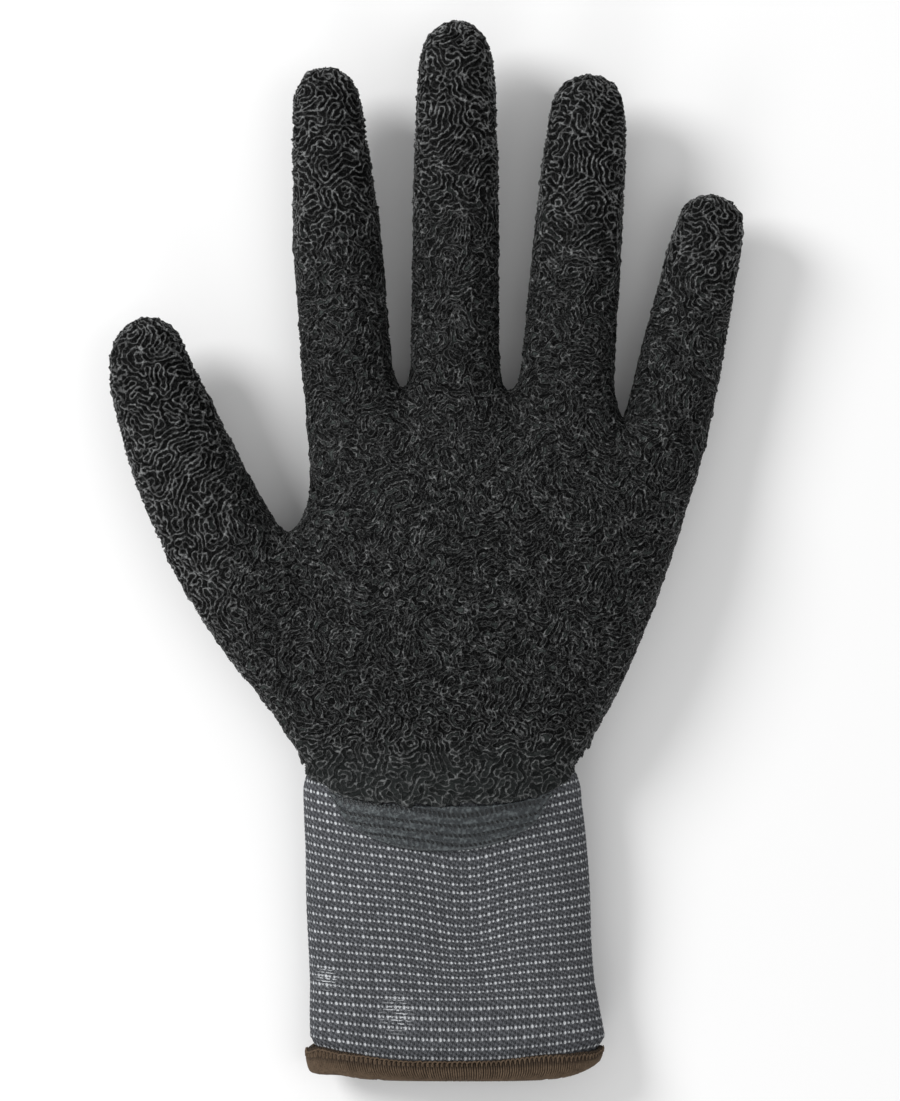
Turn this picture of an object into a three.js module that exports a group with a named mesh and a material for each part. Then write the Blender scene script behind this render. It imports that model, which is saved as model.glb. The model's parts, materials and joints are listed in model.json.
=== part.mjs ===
// Latex coated grip glove for the left hand, lying on its back with the palm up.
// A knitted liner and a knitted cuff make the hollow hand. Crinkled latex covers the palm,
// the thumb, the sides of the fingers and the fingertips, and a smooth film of it ends on the wrist.
// Millimetres. X runs from the thumb's side to the little finger's, Y from the hem to the fingertips,
// and Z up from the surface that the glove lies on. The origin is under the middle of the glove.
import * as THREE from 'three';

// Sizes of the hand, measured over the coating
const palmWidth = 96.4; // across the roots of the four fingers
const palmLength = 88.6; // from the wrist line to the web beside the middle finger
const palmThickness = 28;
const fingerLength = 84.6; // the middle finger's, from its root
const fingerWidth = 21.5; // the middle finger's, at its root
const fingerFlatness = 0.92; // a finger's thickness for each unit of its width
const fingerLift = 0.1; // how far a tip curls up, for each unit of a finger's length
const rootHeight = 10.6; // from the ground to the middle of each finger's root
const thumbLength = 60; // from the web beside the thumb to its tip
const thumbWidth = 24.5;
const thumbThickness = 20;

// Sizes of the wrist and the cuff, measured over the knitting
const wristWidth = 65;
const wristThickness = 23.5;
const cuffWidth = 70; // at the hem
const cuffThickness = 19;
const cuffLength = 74.7; // from the wrist line to the knitting's raw edge and its hem

// Layers
const knitThickness = 1.2;
const coatThickness = 0.9;
const filmThickness = 0.5;
const layerGap = 0.3; // between any two pieces
const flattening = 0.9; // how much of the back is pressed flat by the ground

// The overlocked hem, a thread band folded round the knitting's raw edge
const hemThread = 1.1; // thickness of the band
const hemLeg = 4.3; // how far the band reaches over the knitting
const hemKnot = 0.6; // swelling at the thumb's side, where the seam starts and ends
const knotSpread = 1.2; // in steps round the cuff

// Depths under the outer face of the coating
const coatInside = coatThickness;
const knitOutside = coatThickness + layerGap;
const knitInside = knitOutside + knitThickness;
const filmInside = coatThickness;
const filmOutside = coatThickness - filmThickness;

const degrees = Math.PI / 180;
const frontSteps = 16; // four steps across each of the four fingers
const sideSteps = 4;
const fingerSteps = 4;
const cuffShoulder = 0.82; // where the cuff's front turns down to its sides, as a share of its half width
const palmSquareness = 2.7; // 2 is an ellipse, and more is closer to a rectangle
const cuffSquareness = 2.3;
const fingerSquareness = 2.1;

// Cuff sections from the raw edge to the wrist. along, sag and backSag are shares of cuffLength,
// width and aside of cuffWidth, thick and dent of cuffThickness. sag lowers the front's middle,
// bulge and corner shape that curve, dentAt is the dent's place between the edges at -1 and 1,
// and lift shares out the hem's thickness, which holds the knitting off the ground. ends names the layer
// of latex that ends on that section.
const cuffSections = [
  { along: 0.928, width: 0.965, aside: 0.06, thick: 0.98, sag: 0.046, bulge: 7, corner: 1, backSag: 0.04, dent: 0, dentAt: 0.3, lift: 1 },
  { along: 0.85, width: 0.978, aside: 0.057, thick: 1.0, sag: 0.044, bulge: 5, corner: 1, backSag: 0.035, dent: 0.01, dentAt: 0.3, lift: 1 },
  { along: 0.734, width: 0.976, aside: 0.046, thick: 1.02, sag: 0.042, bulge: 2.4, corner: 1, backSag: 0.025, dent: 0.03, dentAt: 0.28, lift: 0 },
  { along: 0.585, width: 0.961, aside: 0.034, thick: 1.06, sag: 0.047, bulge: 2, corner: 1, backSag: 0, dent: 0.09, dentAt: 0.24, lift: 0 },
  { along: 0.443, width: 0.97, aside: 0.029, thick: 1.11, sag: 0.079, bulge: 2, corner: 1, backSag: 0, dent: 0.15, dentAt: 0.17, lift: 0 },
  { along: 0.3, width: 0.96, aside: 0.024, thick: 1.16, sag: 0.12, bulge: 2, corner: 1, backSag: 0, dent: 0.13, dentAt: 0.1, lift: 0 },
  { along: 0.158, width: 0.948, aside: 0.014, thick: 1.21, sag: 0.168, bulge: 2.2, corner: 1.1, backSag: 0, dent: 0.05, dentAt: 0.06, lift: 0 },
  { along: 0.06, width: 0.925, aside: 0.004, thick: 1.24, sag: 0.205, bulge: 2.5, corner: 1.2, backSag: 0, dent: 0, dentAt: 0, lift: 0, ends: 'film' },
  { along: 0.025, width: 0.9, aside: 0.002, thick: 1.25, sag: 0.1, bulge: 4, corner: 1, backSag: 0, dent: 0, dentAt: 0, lift: 0, ends: 'crinkle' },
];
const filmEdge = cuffSections.findIndex(({ ends }) => ends === 'film');
const crinkleEdge = cuffSections.findIndex(({ ends }) => ends === 'crinkle');
const dentSpread = 0.3;

// Palm sections from the wrist line to the fingers. along is a share of palmLength, thick of palmThickness,
// and the rest are shares of palmWidth from the wrist's middle: both edges, and both shoulders,
// where the flat of the palm turns down to its side. Between the rows marked heel and web the thumb grows
// out of the left edge and hides it.
// slant moves the little finger's side towards the wrist, as a share of palmLength, and rise lifts the
// back off the ground, as a share of palmThickness.
const palmSections = [
  { along: 0.09, left: -0.389, leftShoulder: -0.32, rightShoulder: 0.323, right: 0.392, thick: 0.9, slant: 0, rise: 0 },
  { along: 0.19, left: -0.454, leftShoulder: -0.366, rightShoulder: 0.368, right: 0.444, thick: 0.95, slant: 0, rise: 0, thumb: 'heel' },
  { along: 0.29, left: -0.445, leftShoulder: -0.345, rightShoulder: 0.412, right: 0.485, thick: 0.98, slant: 0, rise: 0 },
  { along: 0.4, left: -0.43, leftShoulder: -0.33, rightShoulder: 0.453, right: 0.525, thick: 1.0, slant: 0, rise: 0 },
  { along: 0.517, left: -0.405, leftShoulder: -0.312, rightShoulder: 0.495, right: 0.565, thick: 1.0, slant: 0, rise: 0 },
  { along: 0.628, left: -0.363, leftShoulder: -0.299, rightShoulder: 0.53, right: 0.595, thick: 0.98, slant: 0.01, rise: 0, thumb: 'web' },
  { along: 0.7, left: -0.322, leftShoulder: -0.289, rightShoulder: 0.545, right: 0.608, thick: 0.96, slant: 0.03, rise: 0 },
  { along: 0.8, left: -0.32, leftShoulder: -0.29, rightShoulder: 0.57, right: 0.63, thick: 0.91, slant: 0.06, rise: 0.03 },
  { along: 0.94, left: -0.334, leftShoulder: -0.302, rightShoulder: 0.625, right: 0.66, thick: 0.8, slant: 0.08, rise: 0.1 },
];
const thumbHeel = palmSections.findIndex(({ thumb }) => thumb === 'heel');
const thumbWeb = palmSections.findIndex(({ thumb }) => thumb === 'web');

// Webs between the fingers, as shares of palmWidth from the wrist's middle and of palmLength
const webs = [
  { across: -0.093, along: 1.005 },
  { across: 0.172, along: 0.995 },
  { across: 0.446, along: 0.907 },
];
const knuckleEdges = { indexSide: 0.952, littleSide: 0.867 }; // shares of palmLength
const webDrop = 0.045; // from a web down to the face of the palm, as a share of palmLength
const webHeight = 0.45; // half the height of a web, as a share of the finger's half thickness
const webValley = 0.12; // the valley that leads to a web, as a share of palmThickness

// Fingers. across and along place the root, as for a web. length and width are shares of fingerLength
// and fingerWidth, lean is in degrees towards the little finger, and each taper is a share of the
// finger's own width at one of the stations.
const stations = [0, 0.12, 0.3, 0.47, 0.64, 0.79, 0.88];
const fingers = [
  { name: 'index', across: -0.228, along: 1.032, length: 0.869, width: 1.015, lean: -4.1, taper: [1, 0.99, 0.99, 0.975, 0.88, 0.795, 0.75] },
  { name: 'middle', across: 0.037, along: 1.027, length: 1.0, width: 1.0, lean: 0.25, taper: [1, 0.99, 0.965, 0.96, 0.93, 0.88, 0.83] },
  { name: 'ring', across: 0.3125, along: 1.021, length: 0.861, width: 1.047, lean: 4.3, taper: [1, 0.99, 0.97, 0.93, 0.905, 0.855, 0.8] },
  { name: 'little', across: 0.566, along: 0.941, length: 0.62, width: 0.94, lean: 12, taper: [1, 1, 0.985, 0.93, 0.875, 0.83, 0.77] },
];
const tipAngles = [27, 50, 71]; // the rings of each rounded tip, in degrees from its base
const coatedTip = stations.length - 2; // the station from which a fingertip is coated all round

// Thumb sections, from the heel of the hand to the tip. reach is a share of thumbLength beyond the thumb's
// web, aside and width are shares of thumbWidth, height and thick of thumbThickness, and turn is in degrees.
// The thumb is coated all round from the section marked coated.
const thumbLean = 24;
const thumbSections = [
  { reach: -0.205, aside: -0.536, turn: 69, width: 1.44, height: 0.7, thick: 1.27 },
  { reach: -0.09, aside: -0.606, turn: 50, width: 1.2, height: 0.72, thick: 1.21 },
  { reach: 0.035, aside: -0.658, turn: 27.5, width: 1.11, height: 0.74, thick: 1.13 },
  { reach: 0.289, aside: -0.688, turn: 24, width: 1.055, height: 0.76, thick: 1.06, coated: true },
  { reach: 0.484, aside: -0.685, turn: 22, width: 1.0, height: 0.78, thick: 1.0 },
  { reach: 0.673, aside: -0.652, turn: 18.5, width: 0.907, height: 0.81, thick: 0.91 },
  { reach: 0.83, aside: -0.608, turn: 14, width: 0.787, height: 0.85, thick: 0.8 },
];
const thumbTip = { reach: 1.0, aside: -0.485, height: 0.88 };
const coatedThumb = thumbSections.findIndex(({ coated }) => coated);

// The skin: one net of points and faces over the whole glove, at the outer face of the coating.
// A loop round the hand runs across the front, down the little finger's side, back across the
// back and up the thumb's side. Each face keeps its zone, row and step for choosing it later.
const points = [];
const floors = []; // how high the knitting's outer face lies over the ground where it is pressed flat
const faces = [];
const loopSize = 2 * (frontSteps + sideSteps);
const ringSize = 2 * (fingerSteps + sideSteps);

function addPoint(x, y, z, floor = 0) {
  points.push(new THREE.Vector3(x, y, z));
  floors.push(floor);
  return points.length - 1;
}

function addBand(lower, upper, label, keep = () => true) {
  for (let step = 0; step < lower.length; step++) {
    const next = (step + 1) % lower.length;
    if (keep(step)) {
      faces.push({ corners: [lower[step], lower[next], upper[next], upper[step]], step, ...label });
    }
  }
}

// A point of a rounded section: angle 0 is the right edge and 90 degrees the palm's side
function onSection(angle, halfWidth, halfHeight, squareness) {
  const power = 2 / squareness;
  const across = Math.cos(angle);
  const up = Math.sin(angle);
  return {
    x: Math.sign(across) * halfWidth * Math.abs(across) ** power,
    z: Math.sign(up) * halfHeight * Math.abs(up) ** power,
  };
}

// The angle at which such a section lies at a share of its half width
function angleAt(share, squareness) {
  const across = Math.min(1, Math.abs(share)) ** (squareness / 2);
  return Math.acos(Math.sign(share) * across);
}

// Shares of the way between the shoulders for the steps of the front, even at the wrist (0)
// and lined up with the webs at the knuckles (1)
function frontShare(step, knuckleShare) {
  const even = step / frontSteps;
  const first = palmSections.at(-1).leftShoulder;
  const last = palmSections.at(-1).rightShoulder;
  const stops = [first, ...webs.map((web) => web.across), last];
  const finger = Math.min(fingers.length - 1, Math.floor(step / fingerSteps));
  const within = step / fingerSteps - finger;
  const across = THREE.MathUtils.lerp(stops[finger], stops[finger + 1], within);
  return THREE.MathUtils.lerp(even, (across - first) / (last - first), knuckleShare);
}

// Angles of all the points of a loop. The back's points lie under the front's, and between them a side's
// points lie at these shares of the angle to the shoulder.
const sideShares = [0.5, 0, -0.62];
function loopAngles({ left, right, leftShoulder, rightShoulder, squareness, knuckleShare }) {
  const middle = (left + right) / 2;
  const half = (right - left) / 2;
  const front = [];
  for (let step = 0; step <= frontSteps; step++) {
    const x = THREE.MathUtils.lerp(leftShoulder, rightShoulder, frontShare(step, knuckleShare));
    front.push(angleAt((x - middle) / half, squareness));
  }
  const rightSide = sideShares.map((share) => share * front.at(-1));
  const leftSide = sideShares.map((share) => Math.PI - share * (Math.PI - front[0])).reverse();
  return [...front, ...rightSide, ...front.map((angle) => -angle).reverse(), ...leftSide];
}

// A loop round the hand or the cuff. shape gives its edges, heights and the height of its places along Y.
function addLoop(shape) {
  const middle = (shape.left + shape.right) / 2;
  const halfWidth = (shape.right - shape.left) / 2;
  return loopAngles(shape).map((angle) => {
    const onFront = Math.sin(angle) > 0;
    const halfHeight = onFront ? shape.top - shape.widest : shape.widest - shape.bottom;
    const place = onSection(angle, halfWidth, halfHeight, shape.squareness);
    const share = place.x / halfWidth;
    const drop = onFront ? (shape.dentOf?.(share) ?? 0) : 0;
    return addPoint(middle + place.x, shape.yOf(share, onFront), shape.widest + place.z - drop, shape.floor);
  });
}

const underGround = -(knitOutside + flattening);
const widestShare = 0.47; // where a section is widest, as a share of its height

function cuffLoop(section, nudge = 0) {
  const middle = section.aside * cuffWidth;
  const half = (section.width * cuffWidth) / 2 + knitOutside;
  const top = section.thick * cuffThickness + knitOutside;
  const floor = section.lift * (layerGap + hemThread);
  const bottom = underGround + floor;
  return addLoop({
    left: middle - half,
    right: middle + half,
    leftShoulder: middle - cuffShoulder * half,
    rightShoulder: middle + cuffShoulder * half,
    squareness: cuffSquareness,
    knuckleShare: 0,
    floor,
    top,
    bottom,
    widest: THREE.MathUtils.lerp(bottom, top, widestShare),
    yOf: (share, onFront) => {
      const curve = (1 - Math.abs(share) ** section.bulge) ** section.corner;
      const sag = onFront ? section.sag : section.backSag;
      return nudge + cuffLength * (1 - section.along - sag * curve);
    },
    dentOf: (share) => {
      const away = (share - section.dentAt) / dentSpread;
      return section.dent * cuffThickness * Math.exp(-away * away);
    },
  });
}

function wristLoop(nudge = 0) {
  return addLoop({
    left: -wristWidth / 2,
    right: wristWidth / 2,
    leftShoulder: (-cuffShoulder * wristWidth) / 2,
    rightShoulder: (cuffShoulder * wristWidth) / 2,
    squareness: cuffSquareness,
    knuckleShare: 0,
    top: wristThickness + knitOutside,
    bottom: underGround,
    widest: THREE.MathUtils.lerp(underGround, wristThickness, widestShare),
    yOf: () => cuffLength + nudge,
  });
}

function palmLoop(section) {
  const top = section.thick * palmThickness;
  const bottom = underGround + section.rise * palmThickness;
  return addLoop({
    left: section.left * palmWidth,
    right: section.right * palmWidth,
    leftShoulder: section.leftShoulder * palmWidth,
    rightShoulder: section.rightShoulder * palmWidth,
    squareness: palmSquareness,
    knuckleShare: section.along,
    top,
    bottom,
    widest: THREE.MathUtils.lerp(bottom, top, widestShare),
    yOf: (share) => cuffLength + (section.along - section.slant * Math.max(0, share) ** 2) * palmLength,
  });
}

// The last loop of the palm bends round the roots of the fingers, with a valley at each web
function knuckleLoop(section) {
  const loop = palmLoop(section);
  const heights = [
    knuckleEdges.indexSide,
    ...webs.map((web) => web.along - webDrop),
    knuckleEdges.littleSide,
  ];
  loop.forEach((index, place) => {
    const onBack = place > frontSteps + sideSteps - 1;
    const side = place % (frontSteps + sideSteps);
    const step = onBack ? frontSteps - side : side;
    const clamped = THREE.MathUtils.clamp(step, 0, frontSteps);
    const onSide = side > frontSteps;
    const edge = onBack ? 0 : frontSteps;
    const at = (onSide ? edge : clamped) / fingerSteps;
    const finger = Math.min(fingers.length - 1, Math.floor(at));
    const along = THREE.MathUtils.lerp(heights[finger], heights[finger + 1], at - finger);
    points[index].y = cuffLength + along * palmLength;
    const nearWeb = at > 0 && at < fingers.length ? Math.cos(Math.PI * (at % 1)) ** 2 : 0;
    const isWeb = at > 0.5 && at < fingers.length - 0.5;
    if (!onSide && isWeb) {
      const towardsMiddle = onBack ? 0.5 : -1;
      points[index].z += towardsMiddle * webValley * palmThickness * nearWeb ** 2;
    }
  });
  return loop;
}

// Rings round a finger or the thumb. The first point is at 135 degrees and they run clockwise,
// seen from the tip, so that they match the loop of the hand where it is cut into fingers.
function addRing({ centre, across, up, halfWidth, halfHeight }) {
  const ring = [];
  for (let step = 0; step < ringSize; step++) {
    const angle = (135 - (360 / ringSize) * step) * degrees;
    const place = onSection(angle, halfWidth, halfHeight, fingerSquareness);
    const point = centre.clone().addScaledVector(across, place.x).addScaledVector(up, place.z);
    ring.push(addPoint(point.x, point.y, point.z));
  }
  return ring;
}

// Joins the rings from a root loop outwards and closes the tip over its last ring
function addDigit(root, rings, tip, name) {
  [root, ...rings].slice(0, -1).forEach((ring, row) => {
    addBand(ring, rings[row], { zone: name, row });
  });
  const pole = addPoint(tip.x, tip.y, tip.z);
  const last = rings.at(-1);
  for (let step = 0; step < ringSize; step++) {
    const next = (step + 1) % ringSize;
    faces.push({ corners: [last[step], last[next], pole], step, zone: name, row: rings.length });
  }
}

// The rings of a rounded tip that stands on the base ring
function tipRings({ centre, across, up, halfWidth, halfHeight }, tip) {
  return tipAngles.map((angle) =>
    addRing({
      centre: centre.clone().lerp(tip, Math.sin(angle * degrees)),
      across,
      up,
      halfWidth: halfWidth * Math.cos(angle * degrees),
      halfHeight: halfHeight * Math.cos(angle * degrees),
    }),
  );
}

function addFinger(finger, root) {
  const length = finger.length * fingerLength;
  const width = finger.width * fingerWidth;
  const lean = finger.lean * degrees;
  const across = new THREE.Vector3(Math.cos(lean), -Math.sin(lean), 0);
  const spine = (share) =>
    new THREE.Vector3(
      finger.across * palmWidth + Math.sin(lean) * share * length,
      cuffLength + finger.along * palmLength + Math.cos(lean) * share * length,
      rootHeight + fingerLift * length * share ** 2,
    );
  const sections = stations.map((share, place) => {
    const rise = Math.atan(2 * fingerLift * share);
    const forward = new THREE.Vector3(Math.sin(lean) * Math.cos(rise), Math.cos(lean) * Math.cos(rise), Math.sin(rise));
    const halfWidth = (width * finger.taper[place]) / 2;
    const up = new THREE.Vector3().crossVectors(across, forward);
    return { centre: spine(share), across, up, halfWidth, halfHeight: halfWidth * fingerFlatness };
  });
  const tip = spine(1);
  const rings = [...sections.map(addRing), ...tipRings(sections.at(-1), tip)];
  addDigit(root, rings, tip, finger.name);
}

function addThumb(root, web) {
  const lean = thumbLean * degrees;
  const forward = new THREE.Vector3(-Math.sin(lean), Math.cos(lean), 0);
  const inward = new THREE.Vector3(Math.cos(lean), Math.sin(lean), 0);
  const place = ({ reach, aside, height }) => {
    const spot = new THREE.Vector3(web.x, web.y, 0);
    spot.addScaledVector(forward, reach * thumbLength).addScaledVector(inward, aside * thumbWidth);
    return spot.setZ(height * thumbThickness);
  };
  const sections = thumbSections.map((section) => ({
    centre: place(section),
    across: new THREE.Vector3(Math.cos(section.turn * degrees), Math.sin(section.turn * degrees), 0),
    up: new THREE.Vector3(0, 0, 1),
    halfWidth: (section.width * thumbWidth) / 2,
    halfHeight: (section.thick * thumbThickness) / 2,
  }));
  const tip = place(thumbTip);
  const rings = [...sections.map(addRing), ...tipRings(sections.at(-1), tip)];
  addDigit(root, rings, tip, 'thumb');
}

// Steps of a loop: the front's come first, then the little finger's side, the back and the thumb's side
const littleSide = frontSteps;
const backStart = frontSteps + sideSteps;
const thumbSide = backStart + frontSteps;
const isFront = (step) => step < littleSide;

// The cuff's loops, with a narrow row left out between the film and the coat
const cuffLoops = cuffSections.map((section) => cuffLoop(section));
cuffLoops.slice(0, -1).forEach((loop, row) => addBand(loop, cuffLoops[row + 1], { zone: 'cuff', row }));
const coatStart = cuffLoop(cuffSections[crinkleEdge], layerGap);
addBand(cuffLoops[crinkleEdge], coatStart, { zone: 'cuff', row: crinkleEdge });
const cuffTop = wristLoop();
addBand(coatStart, cuffTop, { zone: 'cuff', row: crinkleEdge + 1 });

// The palm's loops, with another narrow row left out between the cuff and the liner
const linerStart = wristLoop(layerGap);
addBand(cuffTop, linerStart, { zone: 'wrist', row: 0 });
const knuckles = palmSections.length - 1;
const palmLoops = palmSections.map((section, row) => (row === knuckles ? knuckleLoop(section) : palmLoop(section)));
[linerStart, ...palmLoops.slice(0, -1)].forEach((loop, row) => {
  const besideThumb = row > thumbHeel && row <= thumbWeb;
  addBand(loop, palmLoops[row], { zone: 'palm', row }, (step) => !(besideThumb && step >= thumbSide));
});

// The thumb's root is the edge of the opening left in the side
const heel = palmLoops[thumbHeel];
const web = palmLoops[thumbWeb];
const sideRows = palmLoops.slice(thumbHeel, thumbWeb + 1);
const thumbRoot = [
  ...sideRows.map((loop) => loop[0]),
  ...web.slice(thumbSide + 1).reverse(),
  ...sideRows.map((loop) => loop[thumbSide]).reverse(),
  ...heel.slice(thumbSide + 1),
];
addThumb(thumbRoot, points[web[thumbSide + 2]]);

// Each web is three points between the front and the back of the hand
const knuckleRow = palmLoops[knuckles];
const halfFinger = (fingerWidth * fingerFlatness) / 2;
const webPoints = webs.map(({ across, along }) =>
  [webHeight, 0, -webHeight].map((height) =>
    addPoint(
      across * palmWidth,
      cuffLength + along * palmLength - (webDrop / 4) * palmLength * Math.sign(Math.abs(height)),
      rootHeight + height * halfFinger,
    ),
  ),
);
const webSides = [
  knuckleRow.slice(thumbSide + 1).reverse(),
  ...webPoints,
  knuckleRow.slice(littleSide + 1, backStart),
];
fingers.forEach((finger, place) => {
  const first = place * fingerSteps;
  const front = knuckleRow.slice(first, first + fingerSteps + 1);
  const back = knuckleRow.slice(thumbSide - first - fingerSteps, thumbSide - first + 1);
  addFinger(finger, [...front, ...webSides[place + 1], ...back, ...webSides[place].slice().reverse()]);
});

// Outward direction at each point, from the faces round it
const normals = points.map(() => new THREE.Vector3());
for (const { corners } of faces) {
  const [a, b, c] = corners.map((index) => points[index]);
  const d = points[corners.at(-1)];
  const area = new THREE.Vector3().crossVectors(c.clone().sub(a), d.clone().sub(b));
  if (corners.length === 3) {
    area.crossVectors(b.clone().sub(a), c.clone().sub(a));
  }
  corners.forEach((index) => normals[index].add(area));
}
normals.forEach((normal) => normal.normalize());

// A point of the skin at a depth under its outer face, never lower than the ground given for that layer
function atDepth(index, depth, ground = -Infinity) {
  const point = points[index].clone().addScaledVector(normals[index], -depth);
  return point.setZ(Math.max(point.z, ground));
}

// A closed solid from flat lists of corners
function closedGeometry(corners) {
  const geometry = new THREE.BufferGeometry();
  geometry.setAttribute('position', new THREE.Float32BufferAttribute(corners.flatMap((point) => point.toArray()), 3));
  geometry.computeVertexNormals();
  return geometry;
}

function splitFace(corners) {
  const [a, b, c, d] = corners;
  return d === undefined ? [[a, b, c]] : [[a, b, c], [a, c, d]];
}

// A wall between two depths over the chosen faces, closed along its free edges
function wall(chosen, outside, inside) {
  const triangles = [];
  const edges = new Map();
  for (const { corners } of chosen) {
    for (const triangle of splitFace(corners)) {
      triangles.push(triangle.map(outside), triangle.map(inside).reverse());
    }
    corners.forEach((from, place) => {
      const to = corners[(place + 1) % corners.length];
      if (!edges.delete(`${to} ${from}`)) {
        edges.set(`${from} ${to}`, [from, to]);
      }
    });
  }
  for (const [from, to] of edges.values()) {
    triangles.push([outside(to), outside(from), inside(from)], [outside(to), inside(from), inside(to)]);
  }
  return closedGeometry(triangles.flat());
}

// Knitting rests on the ground where it is pressed flat, and so does its inner face on its wall
const knitOuterFace = (index) => atDepth(index, knitOutside, floors[index]);
const knitInnerFace = (index) => atDepth(index, knitInside, floors[index] + knitThickness);

// The coat ends half way down the sides of the hand, clear of the ground
function isCoated({ zone, row, step }) {
  const overPalm = step < backStart - 1 || step > thumbSide;
  if (zone === 'cuff') {
    return row === crinkleEdge + 1 && overPalm;
  }
  if (zone === 'wrist' || zone === 'palm') {
    return overPalm;
  }
  const onBack = step >= fingerSteps + sideSteps && step < 2 * fingerSteps + sideSteps;
  return !onBack || row > (zone === 'thumb' ? coatedThumb : coatedTip);
}

// The hem's section, out from the knitting's outer face and down from its raw edge. It is a band folded
// into a narrow channel that holds the edge, with a rounded fold.
function hemSection(swelling) {
  const outer = layerGap + hemThread + swelling;
  const inner = -(knitThickness + layerGap);
  const innerFace = inner - hemThread;
  const fold = layerGap + hemThread;
  return [
    [layerGap, -hemLeg],
    [layerGap, layerGap],
    [inner, layerGap],
    [inner, -hemLeg],
    [innerFace, -0.85 * hemLeg],
    [innerFace, -0.1 * hemLeg],
    [THREE.MathUtils.lerp(innerFace, outer, 0.25), fold],
    [THREE.MathUtils.lerp(innerFace, outer, 0.75), fold],
    [outer, -0.1 * hemLeg],
    [outer, -0.8 * hemLeg],
  ];
}

function hemGeometry() {
  const [edge, above] = cuffLoops;
  const knotAt = thumbSide + sideSteps / 2;
  // A point this far out from the knitting's outer face, and this far down from its raw edge
  const hemPoint = (step, outward, downward) => {
    const [base, higher] = [edge[step], above[step]].map((index) =>
      atDepth(index, knitOutside - outward, floors[index] - outward),
    );
    const over = higher.clone().sub(base);
    return base.addScaledVector(over.clone().normalize(), -downward);
  };
  const rings = edge.map((index, step) => {
    const swelling = hemKnot * Math.exp(-(((step - knotAt) / knotSpread) ** 2));
    return hemSection(swelling).map(([outward, downward]) => {
      const point = hemPoint(step, outward, downward);
      return point.setZ(Math.max(point.z, 0));
    });
  });
  const triangles = [];
  rings.forEach((ring, step) => {
    const next = rings[(step + 1) % loopSize];
    ring.forEach((corner, place) => {
      const after = (place + 1) % ring.length;
      for (const triangle of splitFace([corner, next[place], next[after], ring[after]])) {
        triangles.push(triangle);
      }
    });
  });
  return closedGeometry(triangles.flat());
}

// Finishes
const knitGrey = new THREE.MeshStandardMaterial({ color: 0x55585f, roughness: 0.95, metalness: 0 });
const cuffGrey = new THREE.MeshStandardMaterial({ color: 0x6a6d74, roughness: 0.95, metalness: 0 });
const latexBlack = new THREE.MeshStandardMaterial({ color: 0x1c1d1e, roughness: 0.5, metalness: 0 });
const filmGrey = new THREE.MeshStandardMaterial({ color: 0x3a3f43, roughness: 0.4, metalness: 0 });
const threadBrown = new THREE.MeshStandardMaterial({ color: 0x4b3a2a, roughness: 0.9, metalness: 0 });

const glove = new THREE.Group();

function addPiece(name, geometry, material) {
  const piece = new THREE.Mesh(geometry, material);
  piece.name = name;
  glove.add(piece);
}

const isCuff = (face) => face.zone === 'cuff';
const isLiner = (face) => face.zone !== 'cuff' && face.zone !== 'wrist';
const isFilm = ({ zone, row, step }) => zone === 'cuff' && row === filmEdge && isFront(step);

addPiece('knit_liner', wall(faces.filter(isLiner), knitOuterFace, knitInnerFace), knitGrey);
addPiece('knit_cuff', wall(faces.filter(isCuff), knitOuterFace, knitInnerFace), cuffGrey);
addPiece('cuff_hem', hemGeometry(), threadBrown);
addPiece(
  'latex_palm_coat',
  wall(faces.filter(isCoated), (index) => atDepth(index, 0), (index) => atDepth(index, coatInside)),
  latexBlack,
);
addPiece(
  'latex_wrist_film',
  wall(faces.filter(isFilm), (index) => atDepth(index, filmOutside), (index) => atDepth(index, filmInside)),
  filmGrey,
);

// The origin goes under the middle of the whole glove
const box = new THREE.Box3().setFromObject(glove);
const middle = box.getCenter(new THREE.Vector3());
glove.position.set(-middle.x, -middle.y, -box.min.z);

export default glove;
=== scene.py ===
# Latex coated grip glove for the left hand, lying on its back with the palm up
# Metres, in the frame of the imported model: Y to the fingertips, Z out of the palm
import json
import math
import bpy
import bmesh
import numpy as np
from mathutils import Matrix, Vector
from mathutils.bvhtree import BVHTree

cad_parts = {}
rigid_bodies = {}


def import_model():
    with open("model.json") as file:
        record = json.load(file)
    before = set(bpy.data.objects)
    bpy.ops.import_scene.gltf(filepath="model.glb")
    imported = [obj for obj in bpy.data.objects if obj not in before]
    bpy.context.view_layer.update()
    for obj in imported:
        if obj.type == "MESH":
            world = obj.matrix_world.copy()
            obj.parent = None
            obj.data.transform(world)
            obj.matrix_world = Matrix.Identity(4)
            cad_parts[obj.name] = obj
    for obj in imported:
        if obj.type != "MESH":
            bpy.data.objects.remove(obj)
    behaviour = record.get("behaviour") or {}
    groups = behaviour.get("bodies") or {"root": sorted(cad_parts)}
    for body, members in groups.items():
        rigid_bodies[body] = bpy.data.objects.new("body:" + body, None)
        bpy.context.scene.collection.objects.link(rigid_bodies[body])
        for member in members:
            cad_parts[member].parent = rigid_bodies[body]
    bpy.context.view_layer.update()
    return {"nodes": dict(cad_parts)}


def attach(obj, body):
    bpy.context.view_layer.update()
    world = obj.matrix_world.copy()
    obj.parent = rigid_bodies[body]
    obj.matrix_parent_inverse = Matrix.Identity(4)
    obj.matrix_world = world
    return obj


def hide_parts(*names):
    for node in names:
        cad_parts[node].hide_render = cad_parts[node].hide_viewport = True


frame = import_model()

nodes = frame["nodes"]
mm = 0.001
weldDistance = 0.002 * mm
quadLimit = math.radians(70)  # of the fold and of the shape of two triangles joined to a quad
scene = bpy.context.scene


# Meshes

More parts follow.
